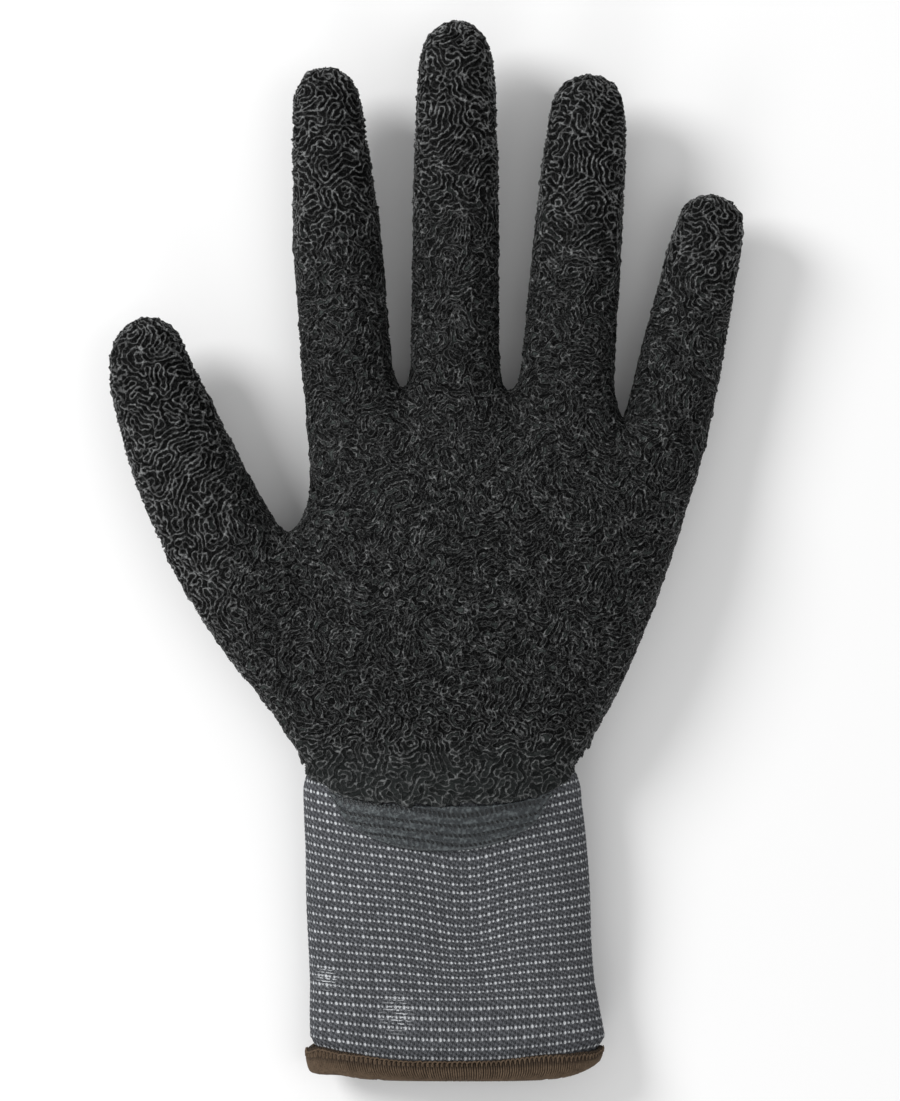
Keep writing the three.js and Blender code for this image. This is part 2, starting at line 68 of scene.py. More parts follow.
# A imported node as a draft: doubles merged, triangles paired into quads again
def draftOf(nodeName):
    draft = bmesh.new()
    draft.from_mesh(nodes[nodeName].data)
    bmesh.ops.remove_doubles(draft, verts=draft.verts, dist=weldDistance)
    bmesh.ops.join_triangles(
        draft, faces=draft.faces, angle_face_threshold=quadLimit, angle_shape_threshold=quadLimit
    )
    return draft


def meshFrom(draft, name):
    mesh = bpy.data.meshes.new(name)
    draft.to_mesh(mesh)
    draft.free()
    return mesh


def draftFrom(mesh):
    draft = bmesh.new()
    draft.from_mesh(mesh)
    bpy.data.meshes.remove(mesh)
    return draft


# The finished mesh of an object that is needed only for its modifiers or its bevel
def evaluated(holder):
    scene.collection.objects.link(holder)
    graph = bpy.context.evaluated_depsgraph_get()
    mesh = bpy.data.meshes.new_from_object(holder.evaluated_get(graph))
    bpy.data.batch_remove((holder, holder.data))
    return mesh


# Catmull-Clark rounds the draft, and each face keeps its material number
def rounded(draft, levels):
    holder = bpy.data.objects.new("draft", meshFrom(draft, "draft"))
    smooth = holder.modifiers.new("smooth", "SUBSURF")
    smooth.levels = smooth.render_levels = levels
    return draftFrom(evaluated(holder))


# Splits long edges of the faces numbered 1 until none is over the limit
def refine(draft, longest, passes=6):
    for _ in range(passes):
        edges = set()
        for face in draft.faces:
            if face.material_index == 1:
                edges.update(edge for edge in face.edges if edge.calc_length() > longest)
        if not edges:
            return
        bmesh.ops.subdivide_edges(draft, edges=list(edges), cuts=1, use_grid_fill=True)


def pieceFrom(draft, name, cadNode):
    mesh = meshFrom(draft, name)
    mesh.materials.clear()
    mesh.polygons.foreach_set("material_index", np.zeros(len(mesh.polygons), dtype=np.int32))
    mesh.shade_smooth()
    piece = bpy.data.objects.new(name, mesh)
    scene.collection.objects.link(piece)
    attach(piece, "root")
    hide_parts(cadNode)
    return piece


def readPlaces(mesh):
    flat = np.empty(len(mesh.vertices) * 3, dtype=np.float32)
    mesh.vertices.foreach_get("co", flat)
    return flat.reshape(-1, 3).astype(float)


def readNormals(mesh):
    flat = np.empty(len(mesh.vertices) * 3, dtype=np.float32)
    mesh.vertex_normals.foreach_get("vector", flat)
    return flat.reshape(-1, 3).astype(float)


def storeValue(mesh, name, values):
    mesh.attributes.new(name, "FLOAT", "POINT").data.foreach_set("value", values.astype(np.float32))


# The vertex at each face corner, and how many corners each face has
def readCorners(mesh):
    corners = np.empty(len(mesh.loops), dtype=np.int32)
    mesh.loops.foreach_get("vertex_index", corners)
    totals = np.empty(len(mesh.polygons), dtype=np.int32)
    mesh.polygons.foreach_get("loop_total", totals)
    return corners, totals


# Vertices that only faces numbered 1 touch
def outerOnly(mesh):
    numbers = np.empty(len(mesh.polygons), dtype=np.int32)
    mesh.polygons.foreach_get("material_index", numbers)
    corners, totals = readCorners(mesh)
    outer = np.ones(len(mesh.vertices), dtype=bool)
    outer[corners[np.repeat(numbers, totals) != 1]] = False
    return outer


def writePlaces(mesh, places):
    mesh.vertices.foreach_set("co", places.astype(np.float32).ravel())
    mesh.update()


def moveOut(mesh, places, normals, heights):
    writePlaces(mesh, places + normals * heights[:, None])


# How far the strip across X of each vertex reaches along Y, upwards (way 1) or downwards (way -1)
def furthest(places, way, width):
    strips = np.round(places[:, 0] / width).astype(int)
    strips -= strips.min()
    edge = np.full(strips.max() + 1, -np.inf)
    np.maximum.at(edge, strips, places[:, 1] * way)
    return edge[strips]


# Slides the highest (way 1) or the lowest (way -1) vertices along Y, by one amount or one for each
def slideEdge(mesh, way, reach, amounts):
    places = readPlaces(mesh)
    edge = furthest(places, way, 1.5 * mm)
    places[:, 1] += amounts * softStep(places[:, 1] * way, edge - reach, edge - 0.15 * reach)
    writePlaces(mesh, places)


# Fields

# Sum of plane waves of about one length, in random directions: no grain and no repeat
def waveField(points, length, spread, count, seed):
    chance = np.random.default_rng(seed)
    ways = chance.normal(size=(count, 3))
    ways /= np.linalg.norm(ways, axis=1)[:, None]
    lengths = length * (1 + spread * chance.uniform(-1, 1, count))
    phases = chance.uniform(0, 2 * math.pi, count)
    total = np.zeros(len(points))
    for way, size, phase in zip(ways, lengths, phases):
        total += np.cos(points @ (way * 2 * math.pi / size) + phase)
    return total * math.sqrt(2 / count)


def softStep(values, low, high):
    share = np.clip((values - low) / (high - low), 0, 1)
    return share * share * (3 - 2 * share)


# Material helpers

def newMaterial(name, **sockets):
    material = bpy.data.materials.new(name)
    material.use_nodes = True
    shader = material.node_tree.nodes["Principled BSDF"]
    for socket, value in sockets.items():
        shader.inputs[socket.replace("_", " ")].default_value = value
    return material, material.node_tree, shader


def feed(tree, socket, value):
    if isinstance(value, bpy.types.NodeSocket):
        tree.links.new(value, socket)
    else:
        socket.default_value = value


def add(tree, kind, inputs=(), **settings):
    node = tree.nodes.new(kind)
    for key, value in settings.items():
        setattr(node, key, value)
    for key, value in dict(inputs).items():
        feed(tree, node.inputs[key], value)
    return node


def calc(tree, operation, *values):
    return add(tree, "ShaderNodeMath", dict(enumerate(values)), operation=operation).outputs[0]


def plus(tree, first, second):
    return calc(tree, "ADD", first, second)


def minus(tree, first, second):
    return calc(tree, "SUBTRACT", first, second)


def times(tree, first, second):
    return calc(tree, "MULTIPLY", first, second)


def vectorCalc(tree, operation, first, second):
    inputs = {0: first, 3 if operation == "SCALE" else 1: second}
    return add(tree, "ShaderNodeVectorMath", inputs, operation=operation).outputs[0]


def axesOf(tree, vector):
    return add(tree, "ShaderNodeSeparateXYZ", {0: vector}).outputs


def valueOf(tree, name):
    return add(tree, "ShaderNodeAttribute", attribute_name=name).outputs["Fac"]


def noise(tree, vector, scale, detail, **others):
    inputs = {"Vector": vector, "Scale": scale, "Detail": detail, **others}
    return add(tree, "ShaderNodeTexNoise", inputs).outputs[0]


def blendColour(tree, factor, first, second):
    node = add(tree, "ShaderNodeMix", data_type="RGBA")
    for number, value in ((0, factor), (6, first), (7, second)):
        feed(tree, node.inputs[number], value)
    return node.outputs[2]


def remap(tree, value, low, high, toLow=0.0, toHigh=1.0):
    inputs = {0: value, 1: low, 2: high, 3: toLow, 4: toHigh}
    return add(tree, "ShaderNodeMapRange", inputs, interpolation_type="SMOOTHSTEP").outputs[0]


def newGroup(name, inputs, outputs):
    group = bpy.data.node_groups.new(name, "ShaderNodeTree")
    for label, kind, value in inputs:
        socket = group.interface.new_socket(name=label, in_out="INPUT", socket_type=kind)
        if value is not None:
            socket.default_value = value
    for label, kind in outputs:
        group.interface.new_socket(name=label, in_out="OUTPUT", socket_type=kind)
    return group, group.nodes.new("NodeGroupInput").outputs, group.nodes.new("NodeGroupOutput").inputs


def grey(value, alpha=1.0):
    return (value, value, value, alpha)


# Fibres: fuzz and flecks of spun yarn. Vector in millimetres
def makeYarnGroup():
    group, given, result = newGroup(
        "yarnFibres",
        [("Vector", "NodeSocketVector", None), ("Fibre Length", "NodeSocketFloat", 1.0)],
        [("Fleck", "NodeSocketFloat"), ("Height", "NodeSocketFloat")],
    )
    scaled = vectorCalc(group, "SCALE", given["Vector"], calc(group, "DIVIDE", 1.0, given["Fibre Length"]))
    fine = noise(group, scaled, 3.2, 5.0, Roughness=0.65)
    broad = noise(group, scaled, 0.35, 2.0)
    both = plus(group, fine, times(group, broad, 0.5))
    group.links.new(remap(group, both, 0.55, 0.95), result["Fleck"])
    group.links.new(fine, result["Height"])
    return group


# Plain knitting: one V of yarn for each unit of X and Y
def makeKnitGroup():
    group, given, result = newGroup(
        "plainKnit",
        [("Vector", "NodeSocketVector", None), ("Slope", "NodeSocketFloat", 0.9)],
        [("Height", "NodeSocketFloat"), ("Shade", "NodeSocketFloat")],
    )
    split = axesOf(group, given["Vector"])
    across = calc(group, "ABSOLUTE", minus(group, calc(group, "FRACT", split[0]), 0.5))
    rising = plus(group, split[1], times(group, across, given["Slope"]))
    arm = calc(group, "ABSOLUTE", calc(group, "SINE", times(group, rising, math.pi)))
    wale = calc(group, "ABSOLUTE", calc(group, "SINE", times(group, across, 2 * math.pi)))
    height = times(group, calc(group, "POWER", arm, 0.7), calc(group, "POWER", wale, 0.5))
    group.links.new(height, result["Height"])
    group.links.new(remap(group, height, 0.1, 0.75), result["Shade"])
    return group


# The fine grain of set latex and hair lines between the wrinkles. Vector in millimetres
def makeLatexGroup():
    group, given, result = newGroup(
        "latexSkin",
        [("Vector", "NodeSocketVector", None), ("Grain", "NodeSocketFloat", 1.0)],
        [("Height", "NodeSocketFloat"), ("Lines", "NodeSocketFloat")],
    )
    creased = calc(group, "ABSOLUTE", minus(group, noise(group, given["Vector"], 2.4, 4.0), 0.5))
    height = times(group, minus(group, 0.3, creased), given["Grain"])
    winding = noise(group, given["Vector"], 0.85, 1.0, Distortion=1.3)
    apart = calc(group, "ABSOLUTE", minus(group, winding, 0.5))
    group.links.new(height, result["Height"])
    group.links.new(remap(group, apart, 0.012, 0.045, 1.0, 0.0), result["Lines"])
    return group


yarnFibres = makeYarnGroup()
plainKnit = makeKnitGroup()
latexSkin = makeLatexGroup()


def objectInMillimetres(tree):
    coordinates = add(tree, "ShaderNodeTexCoord").outputs["Object"]
    return vectorCalc(tree, "SCALE", coordinates, 1000.0)


def useGroup(tree, group, **inputs):
    node = add(tree, "ShaderNodeGroup", node_tree=group)
    for label, value in inputs.items():
        feed(tree, node.inputs[label.replace("_", " ")], value)
    return node.outputs


def bumpInto(tree, shader, height, strength, distance):
    bump = add(tree, "ShaderNodeBump", {"Strength": strength, "Distance": distance, "Height": height})
    tree.links.new(bump.outputs[0], shader.inputs["Normal"])


# Latex coat over the palm, thumb and fingers

coat = {
    "longestEdge": 0.455 * mm,
    "sheetSize": 1024,
    "sheetWaves": 96,
    "sheetSteps": 20,
    "sheetOffset": 57,  # between the palm's wrinkles and the fingertips' on the sheet
    "fineSpacing": 0.95,  # millimetres from crest to crest over the palm
    "broadSpacing": 1.12,  # and at the fingertips
    "fineHeight": 0.34,
    "broadHeight": 0.55,
    "crestWidth": 0.6,  # as a share of the field's height
    "sunk": 0.45,  # as a share of a crest's height
    "fineLine": 0.16,  # millimetres, as are the next two
    "lineWidth": 0.23,
    # grooveAt places the painted shade beside each crest
    "grooveAt": 0.38,
    "kinks": 1.5,
    "foldHeight": 0.14,
    "foldSharpness": 2.0,
    "unevenness": 0.5,
    "unevenLimits": (0.2, 2.4),
    "wander": 0.26,
    "lumpHeight": 0.07,
    # millimetres from crest to crest, spread of that length, number of waves
    "waves": {
        "bend": (8.0, 0.4, 14),
        "smallBend": (3.2, 0.3, 14),
        "patches": (2.4, 0.4, 24),
        "lumps": (5.5, 0.4, 24),
        "rim": (3.0, 0.4, 10),
        "wideRim": (9.0, 0.4, 10),
    },
    # millimetres between which the wrinkles turn crisp, and how much of that the wrist takes
    "tips": (62.0, 100.0),
    "tipsMiddle": 5,
    "tipsSlant": 0.35,
    "thumb": (36.0, 56.0),
    "wrist": (34.0, 50.0),
    "wristShare": 0.7,
    "swap": (0.4, 0.6),  # crispness at which fine wrinkles give way to broad ones
    "rimWander": 0.7 * mm,
    "rimReach": 2.5 * mm,
    "rimBelow": -45,  # millimetres
    "cuts": (-0.012, 0.029, 0.064),  # where the coat is parted into bands along Y
    "names": ("coat_heel", "coat_palm", "coat_fingers", "coat_fingertips"),
    "kinkScale": 1.15,
    "patchScale": 0.42,
    "breakScale": 0.9,
    "patchShares": (0.36, 0.62),  # of the noise, from dull to bright, as are the next two
    "breakShares": (0.38, 0.6),
    # where the painted light on one flank of the folds shows, in patches
    "flankLightShares": (0.5, 0.64),
    # strengths of the painted highlights along the crests and the hair lines
    "lineStrength": (0.7, 0.85),  # soft and crisp
    "hairStrength": (0.25, 0.1),
    "patchStrength": (0.3, 1.0),
    "boldest": 1.3,
    "wristTone": (-40.0, -56.0),  # millimetres
    "wristToneShare": 0.35,
    # the latex's own black, also painted into the groove beside each crest as shade
    "valleyColour": (0.002, 0.0021, 0.0021, 1),
    "foldColour": (0.006, 0.0066, 0.0066, 1),
    # painted highlight along the crests and the hair lines
    "crestHighlightColour": (0.185, 0.19, 0.19, 1),
    # painted light on one flank of each fold
    "flankLightColour": (0.04, 0.048, 0.045, 1),
    "wristTint": (0.032, 0.037, 0.036, 1),
}


def knitSurface():
    knit = bmesh.new()
    for name in ("knit_liner", "knit_cuff"):
        knit.from_mesh(nodes[name].data)
    tree = BVHTree.FromBMesh(knit)
    knit.free()
    return tree


# A sheet of winding stripes that repeats at its edges: Swift and Hohenberg's equation run from noise.
# The lines where it crosses zero wander, turn and close on themselves like wrinkles in set latex
def makeLabyrinth():
    size = coat["sheetSize"]
    field = np.random.default_rng(5).normal(scale=0.3, size=(size, size))
    turns = np.fft.fftfreq(size, 1 / size) / coat["sheetWaves"]
    ways = np.fft.rfftfreq(size, 1 / size) / coat["sheetWaves"]
    step = 0.5
    damping = 1 / (1 + step * (1 - turns[:, None] ** 2 - ways[None, :] ** 2) ** 2)
    for _ in range(coat["sheetSteps"]):
        field += step * (0.8 * field - field ** 3)
        field = np.fft.irfft2(np.fft.rfft2(field) * damping, s=field.shape)
    return field / np.sqrt(np.mean(field ** 2)) / math.sqrt(2)


def readSheet(sheet, first, second, length):
    size = len(sheet)
    scale = size / coat["sheetWaves"] / length
    low = np.floor(first * scale).astype(int)
    left = np.floor(second * scale).astype(int)
    up = first * scale - low
    across = second * scale - left
    total = np.zeros(len(first))
    for row, rowShare in ((low, 1 - up), (low + 1, up)):
        for column, columnShare in ((left, 1 - across), (left + 1, across)):
            total += sheet[row % size, column % size] * rowShare * columnShare
    return total


# The sheet laid on the glove from three sides
def wrinkleField(sheet, points, normals, length, offset):
    total = np.zeros(len(points))
    squares = np.zeros(len(points))
    for axis in range(3):
        first, second = [points[:, side] for side in range(3) if side != axis]
        weight = softStep(np.abs(normals[:, axis]), 0.4, 0.7) + 0.001
        total += weight * readSheet(sheet, first + offset + 31 * axis, second + 17 * axis, length)
        squares += weight ** 2
    return total / np.sqrt(squares)


# The field that is zero on each crest, and how much a place belongs to the crisp wrinkles of the
# fingertips and the thumb. Points in millimetres
def crinkleOf(points, normals):
    waves = coat["waves"]
    bend = np.stack([waveField(points, *waves["bend"], 11 + axis) for axis in range(3)], axis=1)
    bend += 0.4 * np.stack([waveField(points, *waves["smallBend"], 14 + axis) for axis in range(3)], axis=1)
    bent = points + coat["wander"] * bend
    sheet = makeLabyrinth()
    fine = wrinkleField(sheet, bent, normals, 2 * coat["fineSpacing"], 0)
    broad = wrinkleField(sheet, bent, normals, 2 * coat["broadSpacing"], coat["sheetOffset"])
    slanted = points[:, 1] + coat["tipsSlant"] * np.abs(points[:, 0] - coat["tipsMiddle"])
    tips = softStep(slanted, *coat["tips"])
    thumb = softStep(-points[:, 0], *coat["thumb"])
    wrist = coat["wristShare"] * softStep(-points[:, 1], *coat["wrist"])
    share = np.maximum(np.maximum(tips, thumb), wrist)
    swap = softStep(share, *coat["swap"])
    return fine * (1 - swap) + broad * swap, share


# Distance from the nearest zero of a field, from how steeply the field changes along the edges
def distanceFrom(mesh, places, field):
    ends = np.empty(len(mesh.edges) * 2, dtype=np.int32)
    mesh.edges.foreach_get("vertices", ends)
    first, second = ends.reshape(-1, 2).T
    size = len(field)
    count = np.maximum(np.bincount(first, minlength=size) + np.bincount(second, minlength=size), 1)
    slopes = ((field[second] - field[first]) / np.linalg.norm(places[second] - places[first], axis=1)) ** 2
    steepness = 2 * (np.bincount(first, slopes, size) + np.bincount(second, slopes, size)) / count
    around = np.bincount(first, steepness[second], size) + np.bincount(second, steepness[first], size)
    steepness = (steepness + around / count) / 2
    return field / np.sqrt(steepness + 1e-6)


def makeCoat():
    knit = knitSurface()
    draft = draftOf("latex_palm_coat")
    for face in draft.faces:
        centre = face.calc_center_median()
        nearest, _, _, gap = knit.find_nearest(centre)
        face.material_index = 1 if (centre - nearest).dot(face.normal) > 0.5 * gap else 0
    draft = rounded(draft, 2)
    refine(draft, coat["longestEdge"])
    mesh = meshFrom(draft, "coat")
    places = readPlaces(mesh)
    normals = readNormals(mesh)
    points = places / mm
    waves = coat["waves"]
    field, share = crinkleOf(points, normals)
    distance = distanceFrom(mesh, points, field)
    crest = np.exp(-((field / coat["crestWidth"]) ** 2))
    tall = coat["fineHeight"] * (1 - share) + coat["broadHeight"] * share
    uneven = 1 + coat["unevenness"] * waveField(points, *waves["patches"], 27)
    tall *= np.clip(uneven, *coat["unevenLimits"])
    heights = tall * (crest - coat["sunk"])
    heights += coat["foldHeight"] * np.tanh(-coat["foldSharpness"] * distance)
    heights += coat["lumpHeight"] * waveField(points, *waves["lumps"], 21)
    moveOut(mesh, places, normals, heights * outerOnly(mesh) * mm)
    storeValue(mesh, "crinkle", np.clip(distance, -2, 2))
    storeValue(mesh, "crisp", share)
    along = points * (1, 0, 0)
    wander = 0.6 * waveField(along, *waves["rim"], 41) + 0.5 * waveField(along, *waves["wideRim"], 43)
    amounts = coat["rimWander"] * wander * (points[:, 1] < coat["rimBelow"])
    slideEdge(mesh, -1, coat["rimReach"], amounts)
    return mesh


# Bands of the coat along Y, each closed where it is cut
def partCoat(mesh):
    cuts = [None, *coat["cuts"], None]
    pieces = []
    for name, low, high in zip(coat["names"], cuts, cuts[1:]):
        band = bmesh.new()
        band.from_mesh(mesh)
        for place, way in ((low, -1), (high, 1)):
            if place is None:
                continue
            every = band.verts[:] + band.edges[:] + band.faces[:]
            cut = bmesh.ops.bisect_plane(
                band, geom=every, dist=1e-7, plane_co=(0, place, 0), plane_no=(0, way, 0), clear_outer=True
            )
            rim = [part for part in cut["geom_cut"] if isinstance(part, bmesh.types.BMEdge)]
            bmesh.ops.triangle_fill(band, edges=rim, normal=(0, way, 0))
            for edge in rim:
                edge.smooth = False
        pieces.append(pieceFrom(band, name, "latex_palm_coat"))
        print("coat band", name, len(pieces[-1].data.polygons))
    return pieces


# A bell of one width round a value
def bell(tree, value, centre, width):
    scaled = calc(tree, "DIVIDE", minus(tree, value, centre), width)
    return calc(tree, "EXPONENT", times(tree, times(tree, scaled, scaled), -1.0))


def coatMaterial():
    material, tree, shader = newMaterial("crinkled latex")
    crisp = valueOf(tree, "crisp")
    millimetres = objectInMillimetres(tree)
    kinks = minus(tree, noise(tree, millimetres, coat["kinkScale"], 1.5), 0.5)
    distance = plus(tree, valueOf(tree, "crinkle"), times(tree, kinks, coat["kinks"]))
    skin = useGroup(tree, latexSkin, Vector=millimetres, Grain=1.0)
    line = bell(tree, distance, 0.0, remap(tree, crisp, 0.0, 1.0, coat["fineLine"], coat["lineWidth"]))
    groove = bell(tree, distance, coat["grooveAt"], coat["lineWidth"])
    speckle = noise(tree, millimetres, coat["patchScale"], 3.0)
    patches = remap(tree, speckle, *coat["patchShares"])
    # How bright a crest's painted highlight is: brighter where crisp, uneven in patches, and broken off
    # along its way
    broken = noise(tree, millimetres, coat["breakScale"], 2.0)
    fainter = plus(tree, times(tree, crisp, 0.6), 0.1)
    strength = remap(tree, crisp, 0.0, 1.0, *coat["lineStrength"])
    strength = times(tree, strength, remap(tree, patches, 0.0, 1.0, *coat["patchStrength"]))
    strength = times(tree, strength, remap(tree, broken, *coat["breakShares"], fainter, coat["boldest"]))
    soft = minus(tree, 1.0, crisp)
    base = times(tree, soft, remap(tree, patches, 0.0, 1.0, 0.35, 1.0))
    colour = blendColour(tree, base, coat["valleyColour"], coat["foldColour"])
    # Painted shade: the groove beside each crest takes the darkest colour
    colour = blendColour(tree, groove, colour, coat["valleyColour"])
    # Painted light: a paler flank on one side of each fold, in patches, where the wrinkles are soft
    flankLight = times(tree, remap(tree, distance, -0.3, -0.7), remap(tree, speckle, *coat["flankLightShares"]))
    colour = blendColour(tree, times(tree, flankLight, soft), colour, coat["flankLightColour"])
    hair = times(tree, skin["Lines"], remap(tree, crisp, 0.0, 1.0, *coat["hairStrength"]))
    # Painted highlights: a light colour laid along the crests and the hair lines
    light = calc(tree, "MAXIMUM", times(tree, line, strength), hair)
    colour = blendColour(tree, light, colour, coat["crestHighlightColour"])
    nearWrist = remap(tree, axesOf(tree, millimetres)[1], *coat["wristTone"])
    nearWrist = times(tree, nearWrist, coat["wristToneShare"])
    colour = blendColour(tree, nearWrist, colour, coat["wristTint"])
    tree.links.new(colour, shader.inputs["Base Color"])
    tree.links.new(remap(tree, line, 0.0, 1.0, 0.6, 0.4), shader.inputs["Roughness"])
    tree.links.new(remap(tree, line, 0.0, 1.0, 0.04, 0.4), shader.inputs["Specular IOR Level"])
    height = minus(tree, line, times(tree, groove, 0.7))
    height = plus(tree, height, times(tree, hair, 1.2))
    height = plus(tree, height, times(tree, skin["Height"], 0.6))
    bumpInto(tree, shader, height, 0.9, 0.35 * mm)
    return material


print("coating the palm")
coatMesh = makeCoat()
coatLook = coatMaterial()
for piece in partCoat(coatMesh):
    piece.data.materials.append(coatLook)
bpy.data.meshes.remove(coatMesh)


# Knitted cuff with rows of pale elastic stitches

cuff = {
    "longestEdge": 0.5 * mm,
    "sectionStep": 3.0,  # millimetres, as are the next five
    "sectionFrom": -117.0,
    "sectionTo": -51.0,
    "sectionMiddle": 9.5,
    "sectionHeight": 11.0,
    "sectionWidth": 34.0,
    "sectionTurns": 144,  # angles at which a section is measured
    "sectionBlend": 2,  # neighbours on each side that a section is smoothed with
    "wales": 74,  # stitches round the cuff
    "rowPitch": 2.1,  # millimetres
    "firstRow": -51.0,
    "dotHeight": 0.2,
    "stitchHeight": 0.1,
    "sunk": 0.12,
    # a small and a large pale stitch: place in the wale, half width, half height
    "stitches": ((0.25, 0.12, 0.17), (0.72, 0.17, 0.23)),
    "spots": ((0.25, 0.13, 0.16), (0.72, 0.19, 0.21)),  # the same for their colour
    "spotRange": (0.8, 1.15),  # from the faintest to the boldest
    "offGround": (0.4, 1.5),  # millimetres over the floor in which the relief grows
    "sideShare": 0.75,  # of the half width, beyond which a side swells
    "baseColour": (0.15, 0.156, 0.17, 1),
    # also the painted shade between the yarns, and the dark fibre flecks
    "darkColour": (0.014, 0.015, 0.017, 1),
    "dotColour": (0.62, 0.64, 0.66, 1),
    "pulls": ((-23.5, -101.0, 3.2, 3.2), (-7.0, -109.0, 4.2, 5.0)),  # places and half sizes in millimetres
    "palmHeight": 20.0,  # millimetres
    "dentAt": 9.2,  # millimetres, as is its width
    "dentWidth": 10.0,
    "backDip": 0.3,  # share of the dips that the back takes
    # millimetres along Y, how far the rows dip over the whole width, and at the dent
    "dips": (
        (-126, 2.4, 0.0),
        (-116, 2.2, 0.0),
        (-106, 0.5, 0.3),
        (-90, 1.3, 3.3),
        (-74, 3.0, 2.5),
        (-58, 3.9, 0.6),
        (-50, 3.0, 0.0),
    ),
    # millimetres along Y, and how far the thumb's side and the little finger's side stand out
    "sides": (
        (-118.5, 0.0, 0.0),
        (-115.5, 1.4, 1.8),
        (-110, 1.1, 1.1),
        (-103, 0.6, 0.5),
        (-70, 0.6, 0.6),
        (-60, 0.9, 0.8),
        (-56, 1.1, 1.4),
        (-53, 0.9, 1.5),
        (-50.5, 0.0, 0.0),
    ),
}


# The cuff's sections at steps along Y: middle, half width, and the share of the way round at each angle
def outlineTable(points):
    steps = np.arange(cuff["sectionFrom"], cuff["sectionTo"], cuff["sectionStep"])
    nearest = np.round((points[:, 1] - steps[0]) / cuff["sectionStep"]).astype(int)
    turns = cuff["sectionTurns"]
    middles = []
    halves = []
    shares = []
    for step in range(len(steps)):
        ring = points[nearest == step]
        low, high = ring[:, 0].min(), ring[:, 0].max()
        middles.append((low + high) / 2)
        halves.append((high - low) / 2)
        cell = np.clip((sectionTurn(ring, middles[-1]) * turns).astype(int), 0, turns - 1)
        count = np.bincount(cell, minlength=turns)
        filled = np.flatnonzero(count)
        line = []
        for axis in (0, 2):
            mean = np.bincount(cell, ring[:, axis], minlength=turns)[filled] / count[filled]
            line.append(np.interp(np.arange(turns), filled, mean, period=turns))
        line = np.stack(line, axis=1)
        gaps = np.linalg.norm(np.roll(line, -1, axis=0) - line, axis=1)
        shares.append(np.concatenate([[0], np.cumsum(gaps)]) / gaps.sum())
    blend = cuff["sectionBlend"]
    kernel = np.ones(2 * blend + 1) / (2 * blend + 1)
    padded = np.pad(np.array(shares), ((blend, blend), (0, 0)), mode="edge")
    shares = np.stack([np.convolve(column, kernel, "valid") for column in padded.T], axis=1)
    return {"steps": steps, "middles": middles, "halves": halves, "shares": shares}


# The angle of a place in its section, as a share of a whole turn from the thumb's side
def sectionTurn(points, middle):
    up = (points[:, 2] - cuff["sectionMiddle"]) / cuff["sectionHeight"]
    return (np.arctan2(up, (points[:, 0] - middle) / cuff["sectionWidth"]) + math.pi) / (2 * math.pi)


# Places round and along the cuff, in stitches
def cuffStitches(points, outline):
    middle = np.interp(points[:, 1], outline["steps"], outline["middles"])
    half = np.interp(points[:, 1], outline["steps"], outline["halves"])
    across = np.clip((points[:, 0] - middle) / half, -1, 1)
    turn = sectionTurn(points, middle) * cuff["sectionTurns"]
    cell = np.clip(turn.astype(int), 0, cuff["sectionTurns"] - 1)
    within = turn - cell
    shares = outline["shares"]
    level = np.clip((points[:, 1] - outline["steps"][0]) / cuff["sectionStep"], 0, len(shares) - 1.001)
    row = level.astype(int)
    between = level - row
    lower = shares[row, cell] * (1 - within) + shares[row, cell + 1] * within
    upper = shares[row + 1, cell] * (1 - within) + shares[row + 1, cell + 1] * within
    around = (lower * (1 - between) + upper * between) * cuff["wales"]
    places, broad, narrow = zip(*cuff["dips"])
    dip = np.interp(points[:, 1], places, broad) * (1 - across ** 2)
    aside = (points[:, 0] - cuff["dentAt"]) / cuff["dentWidth"]
    dip += np.interp(points[:, 1], places, narrow) * np.exp(-(aside ** 2))
    dip *= np.where(points[:, 2] > cuff["sectionMiddle"], 1, cuff["backDip"])
    rows = (points[:, 1] + dip - cuff["firstRow"]) / cuff["rowPitch"]
    return around, rows


# A small and a large pale stitch for each wale, and slanted grey yarn between the rows
def cuffRelief(around, rows):
    wale = around % 1
    row = rows % 1 - 0.5
    small, large = [
        np.exp(-(((wale - place) / wide) ** 2) - (row / tall) ** 2)
        for place, wide, tall in cuff["stitches"]
    ]
    arms = np.abs(np.sin(math.pi * (2 * rows + 0.9 * np.abs(wale * 2 % 1 - 0.5))))
    dots = np.clip(0.8 * small + large, 0, 1)
    return cuff["dotHeight"] * dots + cuff["stitchHeight"] * arms * (1 - dots)


# The stitches as a UV map, without a jump inside the faces where the last wale meets the first
def writeStitchMap(mesh, around, rows):
    corners, totals = readCorners(mesh)
    starts = np.concatenate([[0], np.cumsum(totals)[:-1]])
    wales = around[corners]
    half = cuff["wales"] / 2
    span = np.maximum.reduceat(wales, starts) - np.minimum.reduceat(wales, starts)
    behind = np.repeat(span > half, totals) & (wales < half)
    wales = np.where(behind, wales + cuff["wales"], wales)
    layer = mesh.uv_layers.new(name="stitches")
    layer.data.foreach_set("uv", np.stack([wales, rows[corners]], axis=1).astype(np.float32).ravel())


# The cuff's sides swell a little above the hem and where they leave the coat
def swollen(places, outline):
    levels = places[:, 1] / mm
    middle = np.interp(levels, outline["steps"], outline["middles"])
    half = np.interp(levels, outline["steps"], outline["halves"])
    across = (places[:, 0] / mm - middle) / half
    steps, thumbSide, littleSide = zip(*cuff["sides"])
    out = np.where(across < 0, -np.interp(levels, steps, thumbSide), np.interp(levels, steps, littleSide))
    moved = places.copy()
    moved[:, 0] += out * softStep(np.abs(across), cuff["sideShare"], 1.0) * mm
    return moved


